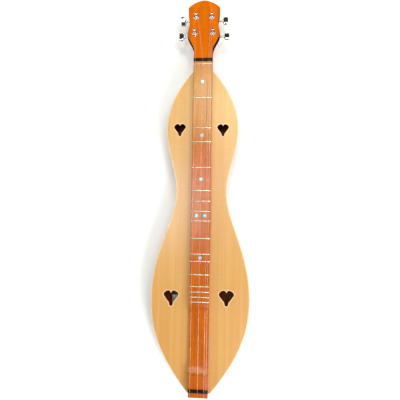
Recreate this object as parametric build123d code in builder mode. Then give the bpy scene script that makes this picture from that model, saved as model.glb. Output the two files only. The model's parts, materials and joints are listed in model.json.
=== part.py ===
from build123d import *

import os
from math import cos, pi, radians, sin, sqrt

# An Appalachian dulcimer lying on its back: +Z up out of the soundboard, headstock towards +Y,
# bass side at -X. Along the instrument, places are distances from the zero fret towards the tail.

os.makedirs("parts", exist_ok=True)

# Driving dimensions, in mm
SCALE_LENGTH = 660.4
BODY_DEPTH = 52.0
BACK_THICKNESS = 3.0
TOP_THICKNESS = 2.8
SIDE_THICKNESS = 2.4
LINING_WIDTH = 5.5
LINING_HEIGHT = 9.0
OVERHANG = 2.0
TAIL_END = 686.0
BODY_START = 5.0

FRETBOARD_WIDTH = 40.0
FRETBOARD_HEIGHT = 18.0
FRETBOARD_END = 685.0
NUT_FRONT = -6.0
NUT_BACK = -13.4
HOLLOW_START = 506.0
HOLLOW_END = 640.0
HOLLOW_DEPTH = 9.0

HEAD_TILT = radians(8)
HEAD_THICKNESS = 14.0
HEAD_FACE_HEIGHT = 69.0
CROWN_REACH = 142.5

STRING_X = {"bass": -16.0, "middle": -0.6, "melody_inner": 12.0, "melody_outer": 16.3}
STRING_RADIUS = {"bass": 0.28, "middle": 0.18, "melody_inner": 0.15, "melody_outer": 0.15}
BRIDGE_CREST = 75.0
FRET_CREST = 71.0
ZERO_FRET_CREST = 71.2
PIN_HEIGHT = 40.0
PIN_END = 691.0

# Machine heads: side of the headstock, post's distance from the axis and along the face,
# and the turn of the button at rest, in degrees
TUNERS = {
    "bass": (-1, 19.6, 59.0, 0),
    "middle": (-1, 16.8, 98.5, 38),
    "melody_inner": (1, 16.8, 98.5, 0),
    "melody_outer": (1, 19.6, 59.0, 12),
}
WORM_OFFSET = 8.0
WHEEL_TEETH = 14
WHEEL_PITCH_RADIUS = 5.3
POST_RADIUS = 3.0
POST_TOP = 12.8
POST_WAIST_RADIUS = 2.5
BUTTON_REACH = 31.0
BUTTON_SIZE = (12.4, 20.0, 8.6)

# Working gaps and allowances
RUNNING_GAP = 0.05
PRESS_GAP = 0.03
JOINERY_GAP = 0.1
CUT_OVERRUN = 1.0
RIM_ROUNDING = 0.9

# Derived places
SIDE_LOW = BACK_THICKNESS
SIDE_HIGH = BODY_DEPTH - TOP_THICKNESS
SIDE_OUTER = OVERHANG
SIDE_INNER = OVERHANG + SIDE_THICKNESS
LINING_INNER = SIDE_INNER + LINING_WIDTH
FRETBOARD_TOP = BODY_DEPTH + FRETBOARD_HEIGHT
CROWN_TIP = -NUT_BACK + CROWN_REACH * cos(HEAD_TILT)
ZERO_FRET_Y = (PIN_END - CROWN_TIP) / 2
HEAD_BLOCK_END = 45.0
TAIL_BLOCK_START = 645.0


def station(distance):
    """The Y of a place this far from the zero fret towards the tail."""
    return ZERO_FRET_Y - distance


def save(builder, name):
    """Labels a finished piece and writes it."""
    builder.part.label = name
    export_step(builder.part, f"parts/{name}.step")


# ---------------------------------------------------------------- outlines of the body

# Half widths of the soundboard at distances from the zero fret
BODY_EDGE = [
    (20, 5), (45.3, 38), (68.5, 85), (76.5, 137), (66, 200), (53.3, 272),
    (67, 335), (91.8, 410), (103.8, 497), (92.5, 570), (63, 632), (24, 686),
]
EDGE_CURVE = Spline(*[(half, station(distance)) for half, distance in BODY_EDGE])
EDGE_STEPS = 24


def inset_points(inset):
    """Points of the treble side's edge, moved squarely inwards."""
    points = []
    for step in range(EDGE_STEPS + 1):
        place = EDGE_CURVE @ (step / EDGE_STEPS)
        run = EDGE_CURVE % (step / EDGE_STEPS)
        points.append((place.X + run.Y * inset, place.Y - run.X * inset))
    return points


def half_plate(inset):
    """The treble half of the body's plan, from the centre line to its edge moved inwards."""
    with BuildSketch() as plate:
        with BuildLine():
            edge = Spline(*inset_points(inset))
            Polyline(edge @ 0, (0, (edge @ 0).Y), (0, (edge @ 1).Y), edge @ 1)
        make_face()
    return plate.sketch


def wall_strip(outer, inner):
    """The plan of a strip that follows the treble edge between two insets."""
    with BuildSketch() as strip:
        with BuildLine():
            outside = Spline(*inset_points(outer))
            inside = Spline(*inset_points(inner))
            Line(outside @ 0, inside @ 0)
            Line(outside @ 1, inside @ 1)
        make_face()
    return strip.sketch


BODY_SPAN = 240.0


def zone(start, end):
    """A rectangle over the whole width between two distances."""
    with BuildSketch() as patch:
        with Locations((0, station((start + end) / 2))):
            Rectangle(BODY_SPAN, end - start)
    return patch.sketch


def block_plan(start, end, tip):
    """The plan of an end block between the sides; tip is 0 at the head and -1 at the tail."""
    with BuildSketch() as plan:
        add(half_plate(SIDE_INNER))
        add(zone(start, end), mode=Mode.INTERSECT)
        with BuildLine():
            inside = Vector(*inset_points(SIDE_INNER)[tip])
            outside = Vector(*inset_points(SIDE_OUTER)[tip])
            Polyline(inside, outside, (0, outside.Y), (0, inside.Y), close=True)
        make_face()
        mirror(about=Plane.YZ)
    return plan.sketch


# ---------------------------------------------------------------- soundboard and back

# Heart holes: half of the body, distance of the lobes' top, distance from the axis, width, height
HEARTS = {
    "treble": [(44.2, 123.3, 25.3, 26.5), (55.5, 475.6, 32.0, 32.5)],
    "bass": [(-48.5, 122.5, 25.7, 27.0), (-60.8, 478.2, 32.0, 32.5)],
}


def heart(width, height):
    """A heart with round lobes and a long blunt tip, its lobes' top at the origin."""
    with BuildSketch() as shape:
        with BuildLine():
            half = Spline(
                (0, -0.16 * height), (0.27 * width, 0), (0.5 * width, -0.25 * height),
                (0.35 * width, -0.5 * height), (0.2 * width, -0.69 * height),
                (0.12 * width, -0.87 * height),
                tangents=[(0.2, 1), (-0.25, -1)],
            )
            ThreePointArc(half @ 1, (0.084 * width, -0.965 * height), (0, -height))
            mirror(about=Plane.YZ)
        make_face()
    return shape.sketch


for half_name, hearts in HEARTS.items():
    with BuildPart() as soundboard_half:
        with BuildSketch(Plane.XY.offset(SIDE_HIGH)):
            add(half_plate(0))
            if half_name == "bass":
                mirror(about=Plane.YZ, mode=Mode.REPLACE)
            for heart_x, heart_top, heart_width, heart_height in hearts:
                with Locations((heart_x, station(heart_top))):
                    add(heart(heart_width, heart_height), mode=Mode.SUBTRACT)
        extrude(amount=TOP_THICKNESS)
        rim = soundboard_half.edges().group_by(Axis.Z)[-1].sort_by(SortBy.LENGTH)[-1]
        fillet(rim, radius=RIM_ROUNDING)
    save(soundboard_half, f"soundboard_{half_name}")

    with BuildPart() as back_half:
        with BuildSketch():
            add(half_plate(0))
            if half_name == "bass":
                mirror(about=Plane.YZ, mode=Mode.REPLACE)
        extrude(amount=BACK_THICKNESS)
    save(back_half, f"back_{half_name}")

SEAM_WIDTH = 16.0
SEAM_HEIGHT = 2.0
SEAM_END_GAP = 1.0
SEAM_ROUNDING = 0.8
ON_BASE = (Align.CENTER, Align.CENTER, Align.MIN)
with BuildPart() as back_seam_strip:
    seam_length = TAIL_BLOCK_START - HEAD_BLOCK_END - 2 * SEAM_END_GAP
    with Locations((0, station((TAIL_BLOCK_START + HEAD_BLOCK_END) / 2), BACK_THICKNESS)):
        Box(SEAM_WIDTH, seam_length, SEAM_HEIGHT, align=ON_BASE)
    fillet(back_seam_strip.edges().filter_by(Axis.Y).group_by(Axis.Z)[-1], radius=SEAM_ROUNDING)
save(back_seam_strip, "back_seam_strip")

# ---------------------------------------------------------------- sides and linings

for half_name in HEARTS:
    with BuildPart() as side:
        with BuildSketch(Plane.XY.offset(SIDE_LOW)):
            add(wall_strip(SIDE_OUTER, SIDE_INNER))
            if half_name == "bass":
                mirror(about=Plane.YZ, mode=Mode.REPLACE)
        extrude(amount=SIDE_HIGH - SIDE_LOW)
    save(side, f"side_{half_name}")

    for level, base in (("top", SIDE_HIGH - LINING_HEIGHT), ("back", SIDE_LOW)):
        with BuildPart() as lining:
            with BuildSketch(Plane.XY.offset(base)):
                add(wall_strip(SIDE_INNER, LINING_INNER))
                add(zone(HEAD_BLOCK_END, TAIL_BLOCK_START), mode=Mode.INTERSECT)
                if half_name == "bass":
                    mirror(about=Plane.YZ, mode=Mode.REPLACE)
            extrude(amount=LINING_HEIGHT)
        save(lining, f"lining_{level}_{half_name}")

# ---------------------------------------------------------------- braces and tail block

BRACE_WIDTH = 9.0
BRACE_HEIGHT = 11.0
BRACE_END_GAP = 0.5
BRACE_ROUNDING = 3.0
BRACES = {
    "soundboard_brace_upper": (SIDE_HIGH - BRACE_HEIGHT, 88),
    "soundboard_brace_waist": (SIDE_HIGH - BRACE_HEIGHT, 290),
    "soundboard_brace_lower": (SIDE_HIGH - BRACE_HEIGHT, 560),
    "back_brace_upper": (SIDE_LOW, 175),
    "back_brace_waist": (SIDE_LOW, 330),
    "back_brace_lower": (SIDE_LOW, 590),
}
for brace_name, (brace_base, brace_place) in BRACES.items():
    on_back = brace_base == SIDE_LOW
    with BuildPart() as brace:
        with BuildSketch(Plane.XY.offset(brace_base)):
            add(half_plate(LINING_INNER + BRACE_END_GAP))
            mirror(about=Plane.YZ)
            brace_zone = zone(brace_place - BRACE_WIDTH / 2, brace_place + BRACE_WIDTH / 2)
            add(brace_zone, mode=Mode.INTERSECT)
        extrude(amount=BRACE_HEIGHT)
        free_edges = brace.edges().filter_by(Axis.X).group_by(Axis.Z)[-1 if on_back else 0]
        fillet(free_edges, radius=BRACE_ROUNDING)
        if on_back:
            with Locations((0, station(brace_place), BACK_THICKNESS)):
                Box(
                    SEAM_WIDTH + 2 * JOINERY_GAP, BRACE_WIDTH, SEAM_HEIGHT + JOINERY_GAP,
                    align=ON_BASE, mode=Mode.SUBTRACT,
                )
    save(brace, brace_name)

PIN_RADIUS = 1.0
PIN_HEAD_RADIUS = 1.7
PIN_HEAD_LENGTH = 1.3
PIN_HEAD_CHAMFER = 0.5
PIN_START = 668.0
PIN_HOLE_SPARE = 0.5
with BuildPart() as tail_block:
    with BuildSketch(Plane.XY.offset(SIDE_LOW)):
        add(block_plan(TAIL_BLOCK_START, TAIL_END, -1))
    extrude(amount=SIDE_HIGH - SIDE_LOW)
    with BuildSketch(Plane.XZ.offset(-station(PIN_START))):
        with Locations(*[(x, PIN_HEIGHT) for x in STRING_X.values()]):
            Circle(PIN_RADIUS + PRESS_GAP)
    extrude(amount=PIN_END - PIN_START, mode=Mode.SUBTRACT)
save(tail_block, "tail_block")

with BuildPart() as hitch_pins:
    for pin_x in STRING_X.values():
        with BuildSketch(Plane.XZ.offset(-station(PIN_START + PIN_HOLE_SPARE))):
            with Locations((pin_x, PIN_HEIGHT)):
                Circle(PIN_RADIUS)
        extrude(amount=PIN_END - PIN_HEAD_LENGTH - PIN_START - PIN_HOLE_SPARE)
        with BuildSketch(Plane.XZ.offset(-station(PIN_END - PIN_HEAD_LENGTH))):
            with Locations((pin_x, PIN_HEIGHT)):
                Circle(PIN_HEAD_RADIUS)
        extrude(amount=PIN_HEAD_LENGTH)
    chamfer(hitch_pins.faces().sort_by(Axis.Y)[0:4].edges(), length=PIN_HEAD_CHAMFER)
save(hitch_pins, "hitch_pins")

LABEL_SIZE = (45.0, 62.0, 0.2)
LABEL_CORNER = (-65.0, 500.0)
with BuildPart() as label:
    label_x = LABEL_CORNER[0] + LABEL_SIZE[0] / 2
    label_y = station(LABEL_CORNER[1] + LABEL_SIZE[1] / 2)
    with Locations((label_x, label_y, BACK_THICKNESS)):
        Box(*LABEL_SIZE, align=ON_BASE)
save(label, "label")

# ---------------------------------------------------------------- fretboard

# Half steps above the open string of each fret on this diatonic fretboard
FRET_STEPS = [2, 4, 5, 7, 9, 10, 11, 12, 14, 16, 17, 19, 21, 22, 23, 24]
FRET_PLACES = [SCALE_LENGTH * (1 - 2 ** (-steps / 12)) for steps in FRET_STEPS]
TANG_WIDTH = 0.6
TANG_DEPTH = 2.0
TANG_SLOT_DEPTH = 2.2
FRET_HALF_LENGTH = 19.6
CROWN_WIDTH = 2.2

DOT_RADIUS = 3.65
DOT_DEPTH = 1.2
DOT_PLACES = [(0, 37.5), (0, 151.9), (0, 244.5), (-8.5, 319.7), (8.5, 319.7), (0, 406.1)]

FRETBOARD_CHAMFER = 0.9
FRETBOARD_END_ROUNDING = 1.2
BRIDGE_START = 668.2
BRIDGE_END = 674.5
BRIDGE_SEAT = 3.0
CHANNEL_WIDTH = 22.0
CHANNEL_HEIGHT = 10.0
CHANNEL_START = 20.0
CHANNEL_END = 500.0
HEAD_RAMP = 24.0
TAIL_RAMP = 20.0


def ramp_middle(edge, run):
    """A middle point of the arc that leaves the hollow's floor level and ends at its edge."""
    direction = 1 if run > 0 else -1
    length = abs(run)
    radius = (length**2 + HOLLOW_DEPTH**2) / (2 * HOLLOW_DEPTH)
    reach = length / 2
    rise = radius - sqrt(radius**2 - reach**2)
    floor_end = edge + run
    return (station(floor_end - direction * reach), FRETBOARD_TOP - HOLLOW_DEPTH + rise)


with BuildPart() as fretboard:
    with BuildSketch(Plane.XY.offset(BODY_DEPTH)):
        with Locations((0, station((NUT_FRONT + FRETBOARD_END) / 2))):
            Rectangle(FRETBOARD_WIDTH, FRETBOARD_END - NUT_FRONT)
    extrude(amount=FRETBOARD_HEIGHT)
    chamfer(fretboard.edges().filter_by(Axis.Y).group_by(Axis.Z)[-1], length=FRETBOARD_CHAMFER)
    tail_top_edge = fretboard.edges().filter_by(Axis.X).group_by(Axis.Z)[-1].sort_by(Axis.Y)[0]
    fillet(tail_top_edge, radius=FRETBOARD_END_ROUNDING)
    with BuildSketch(Plane.YZ):
        with BuildLine():
            floor = FRETBOARD_TOP - HOLLOW_DEPTH
            head_edge = (station(HOLLOW_START), FRETBOARD_TOP)
            tail_edge = (station(HOLLOW_END), FRETBOARD_TOP)
            head_floor = (station(HOLLOW_START + HEAD_RAMP), floor)
            tail_floor = (station(HOLLOW_END - TAIL_RAMP), floor)
            above = FRETBOARD_TOP + CUT_OVERRUN
            ThreePointArc(head_edge, ramp_middle(HOLLOW_START, HEAD_RAMP), head_floor)
            Line(head_floor, tail_floor)
            ThreePointArc(tail_floor, ramp_middle(HOLLOW_END, -TAIL_RAMP), tail_edge)
            Polyline(tail_edge, (tail_edge[0], above), (head_edge[0], above), head_edge)
        make_face()
    extrude(amount=FRETBOARD_WIDTH, both=True, mode=Mode.SUBTRACT)
    with Locations((0, station((CHANNEL_START + CHANNEL_END) / 2), BODY_DEPTH)):
        channel_length = CHANNEL_END - CHANNEL_START
        Box(CHANNEL_WIDTH, channel_length, CHANNEL_HEIGHT, align=ON_BASE, mode=Mode.SUBTRACT)
    with BuildSketch(Plane.XY.offset(FRETBOARD_TOP)):
        with Locations(*[(0, station(place)) for place in [0] + FRET_PLACES]):
            Rectangle(FRETBOARD_WIDTH + 2 * CUT_OVERRUN, TANG_WIDTH)
    extrude(amount=-TANG_SLOT_DEPTH, mode=Mode.SUBTRACT)
    with BuildSketch(Plane.XY.offset(FRETBOARD_TOP)):
        with Locations(*[(x, station(place)) for x, place in DOT_PLACES]):
            Circle(DOT_RADIUS + PRESS_GAP)
    extrude(amount=-DOT_DEPTH, mode=Mode.SUBTRACT)
    with BuildSketch(Plane.XY.offset(FRETBOARD_TOP)):
        with Locations((0, station((BRIDGE_START + BRIDGE_END) / 2))):
            Rectangle(FRETBOARD_WIDTH + 2 * CUT_OVERRUN, BRIDGE_END - BRIDGE_START)
    extrude(amount=-BRIDGE_SEAT, mode=Mode.SUBTRACT)
save(fretboard, "fretboard")


def fret_section(crest):
    """A fret wire's section: a low round crown over a narrow tang."""
    half = CROWN_WIDTH / 2
    with BuildSketch() as section:
        with BuildLine():
            ThreePointArc((-half, 0), (0, crest - FRETBOARD_TOP), (half, 0))
            Line((half, 0), (-half, 0))
        make_face()
        with Locations((0, -TANG_DEPTH / 2)):
            Rectangle(TANG_WIDTH - 2 * PRESS_GAP, TANG_DEPTH)
    return section.sketch


with BuildPart() as frets:
    for place in [0] + FRET_PLACES:
        crest = FRET_CREST if place else ZERO_FRET_CREST
        with BuildSketch(Plane((0, station(place), FRETBOARD_TOP), x_dir=(0, 1, 0), z_dir=(1, 0, 0))):
            add(fret_section(crest))
        extrude(amount=FRET_HALF_LENGTH, both=True)
save(frets, "frets")

with BuildPart() as position_dots:
    with BuildSketch(Plane.XY.offset(FRETBOARD_TOP)):
        with Locations(*[(x, station(place)) for x, place in DOT_PLACES]):
            Circle(DOT_RADIUS)
    extrude(amount=-DOT_DEPTH)
save(position_dots, "position_dots")

# ---------------------------------------------------------------- nut and bridge

NUT_SEAT = 62.0
NUT_CREST = 72.4
NUT_CREST_PLACE = -8.6
NUT_FRONT_TOP = 71.4
NUT_BACK_TOP = 69.6
NUT_INSET = 0.2
NOTCH_GAP = 0.2
NOTCH_HEIGHT = 3.0
UPWARDS = (Align.CENTER, Align.MIN)
with BuildPart() as nut:
    with BuildSketch(Plane.YZ):
        with BuildLine():
            front_top = (station(NUT_FRONT), NUT_FRONT_TOP)
            back_top = (station(NUT_BACK), NUT_BACK_TOP)
            Polyline(back_top, (back_top[0], NUT_SEAT), (front_top[0], NUT_SEAT), front_top)
            ThreePointArc(front_top, (station(NUT_CREST_PLACE), NUT_CREST), back_top)
        make_face()
    extrude(amount=FRETBOARD_WIDTH / 2 - NUT_INSET, both=True)
    for string_name, string_x in STRING_X.items():
        with BuildSketch(Plane.XZ.offset(CUT_OVERRUN - station(NUT_FRONT))):
            with Locations((string_x, ZERO_FRET_CREST - NOTCH_GAP)):
                Rectangle(2 * (STRING_RADIUS[string_name] + NOTCH_GAP), NOTCH_HEIGHT, align=UPWARDS)
        extrude(amount=NUT_BACK - NUT_FRONT - 2 * CUT_OVERRUN, mode=Mode.SUBTRACT)
save(nut, "nut")

BRIDGE_FRONT_TOP = 73.4
BRIDGE_REAR_TOP = 71.8
BRIDGE_SHOULDER = (672.6, 74.0)
BRIDGE_BREAK = 670.2
BRIDGE_INSET = 0.1
BRIDGE_NOTCH_DEPTH = 0.12
with BuildPart() as bridge:
    with BuildSketch(Plane.YZ):
        with BuildLine():
            base = FRETBOARD_TOP - BRIDGE_SEAT
            front_top = (station(BRIDGE_START), BRIDGE_FRONT_TOP)
            rear_top = (station(BRIDGE_END), BRIDGE_REAR_TOP)
            Polyline(front_top, (front_top[0], base), (rear_top[0], base), rear_top)
            Spline(
                rear_top, (station(BRIDGE_SHOULDER[0]), BRIDGE_SHOULDER[1]),
                (station(BRIDGE_BREAK), BRIDGE_CREST), front_top,
                tangents=[(0.3, 1), (0.6, -1)],
            )
        make_face()
    extrude(amount=FRETBOARD_WIDTH / 2 - BRIDGE_INSET, both=True)
    for string_name, string_x in STRING_X.items():
        with BuildSketch(Plane.XZ.offset(-station(BRIDGE_START - CUT_OVERRUN))):
            with Locations((string_x, BRIDGE_CREST - BRIDGE_NOTCH_DEPTH)):
                Rectangle(2 * STRING_RADIUS[string_name] + NOTCH_GAP, NOTCH_HEIGHT, align=UPWARDS)
        extrude(amount=BRIDGE_END - BRIDGE_START + 2 * CUT_OVERRUN, mode=Mode.SUBTRACT)
save(bridge, "bridge")

# ---------------------------------------------------------------- headstock, neck and head block

HEAD_NORMAL = (0, sin(HEAD_TILT), cos(HEAD_TILT))
HEAD_PLANE = Plane((0, station(NUT_BACK), HEAD_FACE_HEIGHT), x_dir=(1, 0, 0), z_dir=HEAD_NORMAL)
NECK_HALF = 20.0
CROWN_POINTS = [(0, CROWN_REACH), (18.6, 136.9), (34.9, 123.4)]
FLANK_POINTS = [(33.4, 104), (31.3, 82.5), (35.2, 60.5)]
SHOULDER_POINTS = [(34.0, 54), (27.2, 39.5), (21.8, 28), (NECK_HALF, 14)]
HEAD_BLANK_HALF = 45.0
CUT_REACH = 90.0
HEEL_TOE = 3.0
HEEL_MIDDLE = (14.0, -32.0)
THROAT_PLACE = 38.0
BUSHING_RADIUS = 4.0
SCREW_RADIUS = 1.0
SCREW_OFFSET = 10.2
SCREW_HOLE_DEPTH = 8.0
POST_PLACES = [(side * x, along) for side, x, along, _ in TUNERS.values()]
SCREW_PLACES = [(x, along - SCREW_OFFSET) for x, along in POST_PLACES]


def on_head(along, height):
    """Y and Z of a point of the headstock's middle plane: along its face, and above it."""
    point = HEAD_PLANE.from_local_coords(Vector(0, along, height))
    return (point.Y, point.Z)


with BuildPart() as headstock:
    block_tip = inset_points(SIDE_OUTER)[0][1]
    with BuildSketch(Plane.YZ):
        with BuildLine():
            heel = (station(HEEL_TOE), BACK_THICKNESS)
            throat = on_head(THROAT_PLACE, -HEAD_THICKNESS)
            Spline(
                heel, on_head(*HEEL_MIDDLE), throat,
                tangents=[(0.25, 1), (cos(HEAD_TILT), -sin(HEAD_TILT))],
            )
            blank_end = CROWN_REACH + CUT_OVERRUN
            Polyline(
                throat, on_head(blank_end, -HEAD_THICKNESS), on_head(blank_end, 0), on_head(0, 0),
                (station(NUT_BACK), NUT_SEAT), (station(NUT_FRONT), NUT_SEAT),
                (station(NUT_FRONT), BODY_DEPTH), (station(BODY_START), BODY_DEPTH),
                (station(BODY_START), SIDE_HIGH), (block_tip, SIDE_HIGH),
                (block_tip, BACK_THICKNESS), heel,
            )
        make_face()
    extrude(amount=HEAD_BLANK_HALF, both=True)
    with BuildSketch(HEAD_PLANE):
        with BuildLine():
            crown = ThreePointArc(*CROWN_POINTS)
            flank = Spline(crown @ 1, *FLANK_POINTS, tangents=[(-0.1, -1), (0.18, -1)])
            shoulder = Spline(flank @ 1, *SHOULDER_POINTS, tangents=[(0.18, -1), (0, -1)])
            Polyline(shoulder @ 1, (NECK_HALF, -CUT_REACH), (0, -CUT_REACH), (0, CROWN_REACH))
        make_face()
        mirror(about=Plane.YZ)
    extrude(amount=CUT_REACH, both=True, mode=Mode.INTERSECT)
    with BuildSketch(Plane.XY.offset(SIDE_LOW)):
        add(block_plan(BODY_START, HEAD_BLOCK_END, 0))
    extrude(amount=SIDE_HIGH - SIDE_LOW)
    with BuildSketch(HEAD_PLANE.offset(CUT_OVERRUN)):
        with Locations(*POST_PLACES):
            Circle(BUSHING_RADIUS + JOINERY_GAP)
    extrude(amount=-HEAD_THICKNESS - 2 * CUT_OVERRUN, mode=Mode.SUBTRACT)
    with BuildSketch(HEAD_PLANE.offset(-HEAD_THICKNESS)):
        with Locations(*SCREW_PLACES):
            Circle(SCREW_RADIUS + PRESS_GAP)
    extrude(amount=SCREW_HOLE_DEPTH, mode=Mode.SUBTRACT)
    outwards = Axis(HEAD_PLANE.origin, HEAD_PLANE.z_dir)
    face = headstock.faces().filter_by(HEAD_PLANE).sort_by(outwards)[-1]
    rim = face.outer_wire().edges().filter_by(lambda edge: (edge @ 0.5).Y > station(NUT_BACK) + 1)
    fillet(rim, radius=RIM_ROUNDING)
save(headstock, "headstock")

# ---------------------------------------------------------------- machine heads

HOUSING_TOP = -HEAD_THICKNESS
HOUSING_DEPTH = 11.6
HOUSING_SIZE = (16.4, 20.0)
HOUSING_CORNER = 2.6
HOUSING_SHIFT = (0.2, 2.4)
HOUSING_ROUNDING = 1.5
PLATE_THICKNESS = 2.0
EAR_SIZE = (10.0, 6.0)
EAR_REACH = 8.7
SLEEVE_RADIUS = 3.7
SLEEVE_START = 7.0
SLEEVE_LENGTH = 4.5
CHAMBER_GAP = 0.3
CHAMBER_END_GAP = 1.1
FLOOR_THICKNESS = 1.8
FOOT_DEPTH = 1.0
FOOT_HOLE_DEPTH = 0.8
WHEEL_MIDDLE = HOUSING_TOP - 5.8
WHEEL_WIDTH = 4.2
WORM_RADIUS = WORM_OFFSET - WHEEL_PITCH_RADIUS
WORM_PITCH = 2 * pi * WHEEL_PITCH_RADIUS / WHEEL_TEETH
WORM_HALF_LENGTH = 4.4
ADDENDUM = 0.65
DEDENDUM = 0.8
LEAD_TILT = WORM_PITCH / (2 * pi * WORM_RADIUS)
SHAFT_RADIUS = 2.0
WHEEL_BORE = 1.8
SHAFT_START = -6.6
SHAFT_HOLE_START = -7.0
SHAFT_HOLE_LENGTH = 20.0
WASHER_RADIUS = 5.7
WASHER_HEIGHT = 0.8
HEX_APOTHEM = 4.9
HEX_HEIGHT = 2.0
HEX_CHAMFER = 0.4
STEM_LENGTH = 12.0
POST_NECK_DROP = 1.0
POST_WAIST_TOP = 8.0
POST_HEAD_BASE = 9.8
POST_DOME = [(POST_RADIUS, POST_TOP - 1.0), (2.55, POST_TOP - 0.35), (1.8, POST_TOP)]
WHEEL_SEAT_GAP = 0.1
TOOTH_GAP_ROOT = 0.45
TOOTH_GAP_TIP = 0.95
TOOTH_GAP_OVERRUN = 0.3
THREAD_ROOT = 0.75
THREAD_TIP = 0.25
THREAD_FOOT = 0.1
BUTTON_CORNER = 5.2
BUTTON_ROUNDING = 2.6
BUTTON_COLLAR_RADIUS = 3.5
BUTTON_COLLAR_START = -7.4
BUTTON_COLLAR_LENGTH = 3.0
BUTTON_BORE_START = -8.0
BUTTON_BORE_END = 4.2
SHAFT_END = 4.0
SCREW_HEAD_RADIUS = 2.1
SCREW_HEAD_HEIGHT = 1.3
SCREW_HEAD_TAPER = 20
SCREW_LENGTH = 9.0
COIL_GAP = 0.04
COIL_LIFT = 0.2
STRING_TAIL = 2.2
WINDING_BASE = 4.4
WINDING_TURNS = 4
STRING_HOLE_HEIGHT = 9.2
STRING_HOLE_RADIUS = 0.8


def tuner_plane(name, height=0.0):
    """A plane on a tuner's post axis: X points out to its button, Z up out of the face."""
    side, x, along, _ = TUNERS[name]
    place = HEAD_PLANE.from_local_coords(Vector(side * x, along, height))
    return Plane(place, x_dir=(side, 0, 0), z_dir=HEAD_PLANE.z_dir)


def worm_side(name):
    """+1 or -1: the side of the tuner plane's Y on which the worm is towards the crown."""
    return TUNERS[name][0]


def shaft_plane(name, reach=0.0):
    """A plane square to a tuner's button shaft, this far out from the post's axis."""
    frame = tuner_plane(name)
    place = frame.from_local_coords(Vector(reach, worm_side(name) * WORM_OFFSET, WHEEL_MIDDLE))
    return Plane(place, x_dir=frame.y_dir, z_dir=frame.x_dir)


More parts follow.
